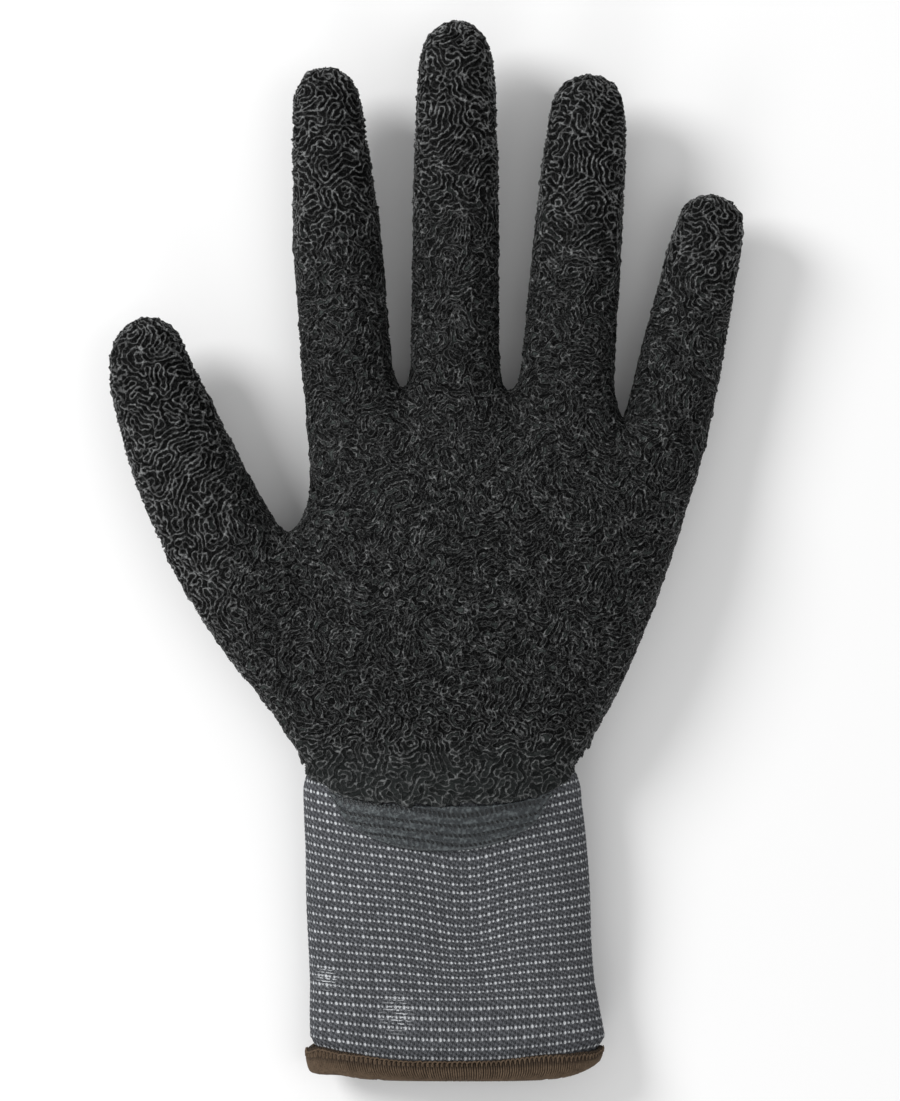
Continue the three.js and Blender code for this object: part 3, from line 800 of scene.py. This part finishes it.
def makeCuff():
    draft = draftOf("knit_cuff")
    own = BVHTree.FromBMesh(draft)
    for face in draft.faces:
        start = face.calc_center_median() + face.normal * 0.2 * mm
        face.material_index = 0 if own.ray_cast(start, face.normal, 0.09)[0] else 1
    draft = rounded(draft, 2)
    refine(draft, cuff["longestEdge"])
    mesh = meshFrom(draft, "cuff")
    places = readPlaces(mesh)
    normals = readNormals(mesh)
    outer = outerOnly(mesh)
    outline = outlineTable(places[outer] / mm)
    around, rows = cuffStitches(places / mm, outline)
    relief = cuffRelief(around, rows) - cuff["sunk"]
    offGround = softStep(places[:, 2] / mm, *cuff["offGround"])
    moveOut(mesh, swollen(places, outline), normals, relief * outer * offGround * mm)
    writeStitchMap(mesh, around, rows)
    return pieceFrom(draftFrom(mesh), "cuff_knitting", "knit_cuff"), outline


# A round spot in each stitch
def spot(tree, wale, row, place, wide, tall):
    aside = calc(tree, "POWER", calc(tree, "DIVIDE", minus(tree, wale, place), wide), 2.0)
    above = calc(tree, "POWER", calc(tree, "DIVIDE", row, tall), 2.0)
    return calc(tree, "EXPONENT", times(tree, plus(tree, aside, above), -1.0))


# Two sets of slanted yarns that cross, one steep and one flat
def latticeOf(tree, split):
    ways = []
    for across, slant in ((2.0, 1.0), (1.0, -2.0)):
        turn = plus(tree, times(tree, split[0], across), times(tree, split[1], slant))
        ways.append(calc(tree, "SINE", times(tree, turn, 2 * math.pi)))
    return remap(tree, plus(tree, ways[0], ways[1]), -1.1, 1.0)


# Loose pale threads where the knitting is pulled, in streaks along the rows
def pulledThreads(tree, millimetres, rows):
    total = None
    for x, y, wide, tall in cuff["pulls"]:
        away = vectorCalc(tree, "SUBTRACT", millimetres, (x, y, cuff["palmHeight"]))
        scale = (1 / wide, 1 / tall, 0.05)
        away = vectorCalc(tree, "MULTIPLY", away, scale)
        near = add(tree, "ShaderNodeVectorMath", {0: away}, operation="LENGTH").outputs[1]
        near = remap(tree, near, 0.3, 1.2, 1.0, 0.0)
        total = near if total is None else calc(tree, "MAXIMUM", total, near)
    broken = noise(tree, millimetres, 0.9, 4.0)
    swing = plus(tree, times(tree, rows, 3.0), broken)
    streaks = remap(tree, calc(tree, "SINE", times(tree, swing, 2 * math.pi)), 0.3, 0.9)
    return times(tree, times(tree, total, streaks), remap(tree, broken, 0.4, 0.55))


def cuffMaterial():
    material, tree, shader = newMaterial("cuff knitting", Roughness=0.92, Specular_IOR_Level=0.2)
    stitches = add(tree, "ShaderNodeUVMap", uv_map="stitches").outputs[0]
    finer = vectorCalc(tree, "MULTIPLY", stitches, (2.0, 2.0, 1.0))
    knit = useGroup(tree, plainKnit, Vector=finer, Slope=1.6)
    millimetres = objectInMillimetres(tree)
    fibres = useGroup(tree, yarnFibres, Vector=millimetres, Fibre_Length=0.8)
    split = axesOf(tree, stitches)
    wale = calc(tree, "FRACT", split[0])
    row = minus(tree, calc(tree, "FRACT", split[1]), 0.5)
    whole = vectorCalc(tree, "SNAP", stitches, (1.0, 1.0, 1.0))
    cells = add(tree, "ShaderNodeTexWhiteNoise", {0: whole}).outputs[0]
    vary = remap(tree, cells, 0.0, 1.0, *cuff["spotRange"])
    small, large = [spot(tree, wale, row, *sizes) for sizes in cuff["spots"]]
    dots = times(tree, plus(tree, times(tree, small, 0.85), large), vary)
    lattice = latticeOf(tree, split)
    # Painted shade between the yarns, from the knit's relief and the slanted lattice
    shade = plus(tree, times(tree, knit["Shade"], 0.35), times(tree, lattice, 0.65))
    colour = blendColour(tree, shade, cuff["darkColour"], cuff["baseColour"])
    colour = blendColour(tree, times(tree, fibres["Fleck"], 0.55), colour, cuff["darkColour"])
    clean = remap(tree, fibres["Fleck"], 0.0, 1.0, 1.0, 0.55)
    pale = times(tree, remap(tree, dots, 0.3, 0.75), clean)
    pale = calc(tree, "MAXIMUM", pale, pulledThreads(tree, millimetres, split[1]))
    colour = blendColour(tree, pale, colour, cuff["dotColour"])
    tree.links.new(colour, shader.inputs["Base Color"])
    height = plus(tree, times(tree, knit["Height"], 0.7), fibres["Height"])
    bumpInto(tree, shader, height, 0.7, 0.3 * mm)
    return material


print("knitting the cuff")
cuffPiece, cuffOutline = makeCuff()
cuffPiece.data.materials.append(cuffMaterial())


# Plain knitted liner, seen on the back of the hand

liner = {
    "stitchWidth": 1.3,  # millimetres
    "stitchHeight": 0.95,
    "colour": (0.10, 0.107, 0.117, 1),
    "shadeAndFleckColour": (0.028, 0.03, 0.034, 1),
}


def makeLiner():
    return pieceFrom(rounded(draftOf("knit_liner"), 2), "liner_knitting", "knit_liner")


def linerMaterial():
    material, tree, shader = newMaterial("liner knitting", Roughness=0.94, Specular_IOR_Level=0.2)
    millimetres = objectInMillimetres(tree)
    size = (1 / liner["stitchWidth"], 1 / liner["stitchHeight"], 1.0)
    stitches = vectorCalc(tree, "MULTIPLY", millimetres, size)
    knit = useGroup(tree, plainKnit, Vector=stitches, Slope=1.0)
    fibres = useGroup(tree, yarnFibres, Vector=millimetres, Fibre_Length=0.8)
    # Painted shade between the yarns, from the knit's relief; the same dark colour also makes the fibre
    # flecks
    colour = blendColour(tree, knit["Shade"], liner["shadeAndFleckColour"], liner["colour"])
    colour = blendColour(tree, times(tree, fibres["Fleck"], 0.5), colour, liner["shadeAndFleckColour"])
    tree.links.new(colour, shader.inputs["Base Color"])
    height = plus(tree, knit["Height"], times(tree, fibres["Height"], 0.5))
    bumpInto(tree, shader, height, 0.8, 0.35 * mm)
    return material


print("knitting the liner")
linerPiece = makeLiner()
linerPiece.data.materials.append(linerMaterial())


# Smooth film of latex at the wrist, thin enough to show the rows under it

film = {
    "longestEdge": 0.7 * mm,
    "swell": 0.05 * mm,  # over each row of stitches
    "rimWidth": 0.7 * mm,
    "tuck": 1.0 * mm,  # of the upper edge under the coat
    "tuckReach": 2.0 * mm,
    "taper": 5.0 * mm,
    "endShare": 0.2,  # of its depth that the film keeps at its ends
    "colour": (0.024, 0.028, 0.031, 1),
    "rowColour": (0.003, 0.0035, 0.004, 1),
    "cloudColour": (0.078, 0.090, 0.094, 1),
    "rimColour": (0.10, 0.11, 0.115, 1),
}


# Draws the film's lower edge up to its upper one towards both ends
def taperEnds(mesh):
    places = readPlaces(mesh)
    across, along = places[:, 0], places[:, 1]
    top = furthest(places, 1, mm)
    fromEnd = np.minimum(across - across.min(), across.max() - across)
    share = film["endShare"] + (1 - film["endShare"]) * softStep(fromEnd, 0.0, film["taper"])
    places[:, 1] = top + (along - top) * share
    writePlaces(mesh, places)


# 1 at the lower edge of a mesh, falling to 0 at a distance from it
def lowerRim(mesh, reach):
    places = readPlaces(mesh)
    edge = -furthest(places, -1, mm)
    return 1 - softStep(places[:, 1], edge + 0.3 * reach, edge + reach)


def makeFilm():
    draft = draftOf("latex_wrist_film")
    for face in draft.faces:
        face.material_index = 1
    draft = rounded(draft, 2)
    refine(draft, film["longestEdge"])
    mesh = meshFrom(draft, "film")
    places = readPlaces(mesh)
    normals = readNormals(mesh)
    _, rows = cuffStitches(places / mm, cuffOutline)
    swell = np.cos(2 * math.pi * (rows - 0.5))
    moveOut(mesh, places, normals, film["swell"] * swell * (normals[:, 2] > 0.2))
    storeValue(mesh, "edge", lowerRim(mesh, film["rimWidth"]))
    taperEnds(mesh)
    slideEdge(mesh, 1, film["tuckReach"], film["tuck"])
    storeValue(mesh, "rows", rows)
    return pieceFrom(draftFrom(mesh), "wrist_film", "latex_wrist_film")


def filmMaterial():
    material, tree, shader = newMaterial("latex film", Roughness=0.25, Specular_IOR_Level=0.3)
    rows = valueOf(tree, "rows")
    edge = valueOf(tree, "edge")
    millimetres = objectInMillimetres(tree)
    skin = useGroup(tree, latexSkin, Vector=millimetres, Grain=0.5)
    across = axesOf(tree, millimetres)[0]
    slant = plus(tree, times(tree, across, 0.9), times(tree, rows, 1.2))
    fleck = remap(tree, calc(tree, "SINE", times(tree, slant, 2 * math.pi)), -0.5, 0.7)
    broken = noise(tree, millimetres, 1.1, 3.0)
    wave = calc(tree, "COSINE", times(tree, rows, 2 * math.pi))
    band = times(tree, remap(tree, wave, 0.0, 0.9), remap(tree, fleck, 0.0, 1.0, 0.4, 1.0))
    band = times(tree, band, remap(tree, broken, 0.35, 0.55, 0.5, 1.0))
    cloudy = remap(tree, broken, 0.44, 0.66)
    colour = blendColour(tree, cloudy, film["colour"], film["cloudColour"])
    colour = blendColour(tree, band, colour, film["rowColour"])
    colour = blendColour(tree, times(tree, edge, 0.6), colour, film["rimColour"])
    tree.links.new(colour, shader.inputs["Base Color"])
    height = minus(tree, plus(tree, skin["Height"], broken), times(tree, band, 0.5))
    bumpInto(tree, shader, height, 0.9, 0.5 * mm)
    return material


print("laying the film")
filmPiece = makeFilm()
filmPiece.data.materials.append(filmMaterial())


# Overlocked hem: a band with thread wrapped over it, and a chain of small loops along its top

hem = {
    "angles": 1440,  # at which the band is measured
    "levels": 40,
    "beyond": 60 * mm,  # from the band's middle to well outside it
    "threadPitch": 0.56 * mm,
    "threadRadius": 0.22 * mm,
    "threadPoints": 8,
    "proudShare": 0.35,  # of its radius by which a thread's middle stands off the band
    "chainRadius": 0.2 * mm,
    "chainTurns": 10,
    "chainSwing": 0.56 * mm,
    "chainLift": 0.12 * mm,
    "chainShare": 0.84,  # of the way from the fold to the top edge
    "chainVariety": 0.25,  # of the swing
    "chainBulge": 0.3,  # of a loop's length by which its head leans over
    # the threads take painted shade under the chain between these shares
    "upperPart": (0.55, 0.68),  # shares between which the threads darken
    "leftSag": 3.2 * mm,
    "leftBulge": 0.9 * mm,
    "leftDrop": 2.2 * mm,
    "rightDrop": 1.1 * mm,
    "shoulderRise": 1.2 * mm,
    # millimetres along X: where each of these grows from nothing to its whole
    "sagAt": (19.0, 29.0),
    "bulgeAt": (24.0, 28.0),
    "leftDropAt": (24.5, 28.5),
    "rightDropAt": (36.0, 41.0),
    "shoulders": (-18.0, 28.0),
    "shoulderWidth": 8.0,
    "colour": (0.075, 0.049, 0.030, 1),
    "darkColour": (0.026, 0.017, 0.010, 1),
    # painted shade between the threads and under the chain
    "gapShadeColour": (0.018, 0.012, 0.0075, 1),
    "lightColour": (0.13, 0.09, 0.058, 1),
}


# The band's surface and the corners of its box
def hemSurface():
    draft = rounded(draftOf("cuff_hem"), 1)
    tree = BVHTree.FromBMesh(draft)
    places = np.array([vert.co for vert in draft.verts])
    draft.free()
    return tree, Vector(places.min(axis=0)), Vector(places.max(axis=0))


# Runs of points from the fold to the top edge, in even steps round the outside of the band, each after
# its way outwards
def hemRuns(tree, low, high):
    centre = (low + high) / 2
    size = high - low
    rays = []
    for step in range(hem["angles"]):
        turn = 2 * math.pi * step / hem["angles"]
        way = Vector((math.cos(turn) * size.x, 0, math.sin(turn) * size.z)).normalized()
        hits = []
        for level in range(hem["levels"]):
            y = low.y + size.y * (level + 0.5) / hem["levels"]
            start = Vector((centre.x, y, centre.z)) + way * hem["beyond"]
            hit = tree.ray_cast(start, -way, hem["beyond"])[0]
            if hit is not None:
                hits.append(hit)
        rays.append((way, hits))
    walked = [0.0]
    for (_, before), (_, after) in zip(rays, rays[1:] + rays[:1]):
        walked.append(walked[-1] + (after[len(after) // 2] - before[len(before) // 2]).length)
    count = round(walked[-1] / hem["threadPitch"])
    marks = [walked[-1] * step / count for step in range(count)]
    return [rays[(int(np.searchsorted(walked, mark, side="right")) - 1) % hem["angles"]] for mark in marks]


def threadCurve(name, radius, lines, closed=False):
    curve = bpy.data.curves.new(name, "CURVE")
    curve.dimensions = "3D"
    curve.bevel_depth = radius
    curve.bevel_resolution = 1
    curve.use_fill_caps = True
    for line in lines:
        spline = curve.splines.new("POLY")
        spline.points.add(len(line) - 1)
        spline.use_cyclic_u = closed
        for point, place in zip(spline.points, line):
            point.co = (*place, 1)
    return draftFrom(evaluated(bpy.data.objects.new(name, curve)))


# How far up the band each vertex lies, from 0 at the fold to 1 at the top edge
def bandShare(places, runs, centre):
    steps = np.array([[math.atan2(way.z, way.x), hits[0].y, hits[-1].y] for way, hits in runs])
    angles, folds, tops = steps[np.argsort(steps[:, 0])].T
    turns = np.arctan2(places[:, 2] - centre.z, places[:, 0] - centre.x)
    low = np.interp(turns, angles, folds, period=2 * math.pi)
    high = np.interp(turns, angles, tops, period=2 * math.pi)
    return (places[:, 1] - low) / (high - low)


# The left end sags and bulges where the thread is tied off, and the top edge climbs at the shoulders and
# drops at both ends. Gives the share of each vertex from before
def settle(mesh, runs, centre):
    places = readPlaces(mesh)
    share = bandShare(places, runs, centre)
    across = places[:, 0] / mm
    rise = sum(np.exp(-(((across - place) / hem["shoulderWidth"]) ** 2)) for place in hem["shoulders"])
    sag = softStep(-across, *hem["sagAt"]) * (1 - softStep(share, 0.0, 1.0))
    lift = hem["shoulderRise"] * rise - hem["leftDrop"] * softStep(-across, *hem["leftDropAt"])
    lift -= hem["rightDrop"] * softStep(across, *hem["rightDropAt"])
    places[:, 1] += lift * softStep(share, 0.2, 1.0) - hem["leftSag"] * sag
    places[:, 0] -= hem["leftBulge"] * softStep(-across, *hem["bulgeAt"])
    writePlaces(mesh, places)
    return share


# A thread laid over the band, leaning from one run to the next
def wrapLine(way, hits, beside):
    count = min(len(hits), len(beside))
    proud = hem["threadRadius"] * hem["proudShare"]
    line = []
    for pick in np.linspace(0, count - 1, hem["threadPoints"]):
        place = hits[int(pick)].lerp(beside[int(pick)], pick / max(count - 1, 1)) + way * proud
        place.z = max(place.z, hem["threadRadius"])
        line.append(place)
    return line


# One loop of the chain, from a run to the next but one
def chainLoop(way, hits, beyond, swing):
    start = hits[int(hem["chainShare"] * (len(hits) - 1))]
    end = beyond[int(hem["chainShare"] * (len(beyond) - 1))]
    loop = []
    for turn in range(hem["chainTurns"]):
        angle = 2 * math.pi * turn / hem["chainTurns"]
        place = start.lerp(end, turn / hem["chainTurns"] + hem["chainBulge"] * math.sin(angle))
        outward = hem["threadRadius"] * 1.5 + hem["chainLift"] * math.sin(angle)
        place = place + Vector((0, swing * math.cos(angle), 0)) + way * outward
        place.z = max(place.z, hem["chainRadius"])
        loop.append(place)
    return loop


def makeHem():
    tree, low, high = hemSurface()
    runs = hemRuns(tree, low, high)
    chance = np.random.default_rng(17)
    lines = []
    chain = []
    for index, (way, hits) in enumerate(runs):
        lines.append(wrapLine(way, hits, runs[(index + 1) % len(runs)][1]))
        if index % 2 == 0:
            swing = hem["chainSwing"] * (1 + hem["chainVariety"] * chance.uniform(-1, 1))
            chain += chainLoop(way, hits, runs[(index + 2) % len(runs)][1], swing)
    # name, mesh, and how far its threads show their colour in the lower and in the upper part; the rest is
    # painted shade, all of it on the band, which shows only between the threads
    layers = (
        ("hem_band", rounded(draftOf("cuff_hem"), 1), 0.0, 0.0),
        ("hem_threads", threadCurve("wraps", hem["threadRadius"], lines), 1.0, 0.35),
        ("hem_chain", threadCurve("chain", hem["chainRadius"], [chain], closed=True), 1.0, 0.95),
    )
    pieces = []
    for name, draft, lower, upper in layers:
        piece = pieceFrom(draft, name, "cuff_hem")
        share = settle(piece.data, runs, (low + high) / 2)
        storeValue(piece.data, "thread", lower + (upper - lower) * softStep(share, *hem["upperPart"]))
        pieces.append(piece)
    return pieces


def hemMaterial():
    material, tree, shader = newMaterial("overlock thread", Roughness=0.85, Specular_IOR_Level=0.25)
    millimetres = objectInMillimetres(tree)
    fibres = useGroup(tree, yarnFibres, Vector=millimetres, Fibre_Length=0.6)
    colour = blendColour(tree, fibres["Fleck"], hem["colour"], hem["lightColour"])
    dark = noise(tree, millimetres, 2.2, 3.0)
    dark = times(tree, remap(tree, dark, 0.45, 0.75), 0.6)
    colour = blendColour(tree, dark, colour, hem["darkColour"])
    # Painted shade: the band between the threads and the threads' upper part under the chain take the dark
    # gap colour
    thread = valueOf(tree, "thread")
    colour = blendColour(tree, thread, hem["gapShadeColour"], colour)
    tree.links.new(colour, shader.inputs["Base Color"])
    bumpInto(tree, shader, fibres["Height"], 0.5, 0.15 * mm)
    return material


print("overlocking the hem")
hemLook = hemMaterial()
for piece in makeHem():
    piece.data.materials.append(hemLook)


# Floor, light and camera

view = {
    "span": 0.2615,  # height of the frame, at the height of the glove's outline
    "distance": 0.72,
    "outlineHeight": 0.012,
    "centre": (0.0056, 0.0002),
    "filmHeight": 24,  # of the camera, in its own millimetres
    "floorSize": 2.5,
    "floorDrop": 0.05 * mm,
    "surround": 0.55,
    # name, place, size, power
    "lights": (
        ("key", (-0.8, 0.45, 0.7), 0.5, 10),
        ("fill", (0.5, -0.1, 1.0), 0.8, 1.5),
        ("low", (-0.2, -0.9, 0.5), 0.5, 2),
    ),
}


def makeFloor():
    sheet = bmesh.new()
    bmesh.ops.create_grid(sheet, x_segments=2, y_segments=2, size=view["floorSize"])
    bmesh.ops.translate(sheet, verts=sheet.verts, vec=(0, 0, -view["floorDrop"]))
    floor = bpy.data.objects.new("floor", meshFrom(sheet, "floor"))
    scene.collection.objects.link(floor)
    material, _, _ = newMaterial("pale floor", Base_Color=grey(0.9), Roughness=0.9, Specular_IOR_Level=0.1)
    floor.data.materials.append(material)


def makeLight(name, place, size, power):
    lamp = bpy.data.lights.new(name, "AREA")
    lamp.shape = "DISK"
    lamp.size = size
    lamp.energy = power
    holder = bpy.data.objects.new(name, lamp)
    holder.location = place
    holder.rotation_euler = (-Vector(place)).to_track_quat("-Z", "Y").to_euler()
    scene.collection.objects.link(holder)


def makeCamera():
    lens = bpy.data.cameras.new("camera")
    lens.sensor_fit = "VERTICAL"
    lens.sensor_height = view["filmHeight"]
    lens.lens = view["filmHeight"] * view["distance"] / view["span"]
    lens.clip_start = 0.01
    holder = bpy.data.objects.new("camera", lens)
    holder.location = (*view["centre"], view["outlineHeight"] + view["distance"])
    scene.collection.objects.link(holder)
    scene.camera = holder


def makeWorld():
    world = bpy.data.worlds.new("studio")
    world.use_nodes = True
    background = world.node_tree.nodes["Background"]
    background.inputs["Color"].default_value = grey(1.0)
    background.inputs["Strength"].default_value = view["surround"]
    scene.world = world


print("setting the stage")
makeFloor()
for light in view["lights"]:
    makeLight(*light)
makeWorld()
scene.view_settings.view_transform = "Standard"
makeCamera()
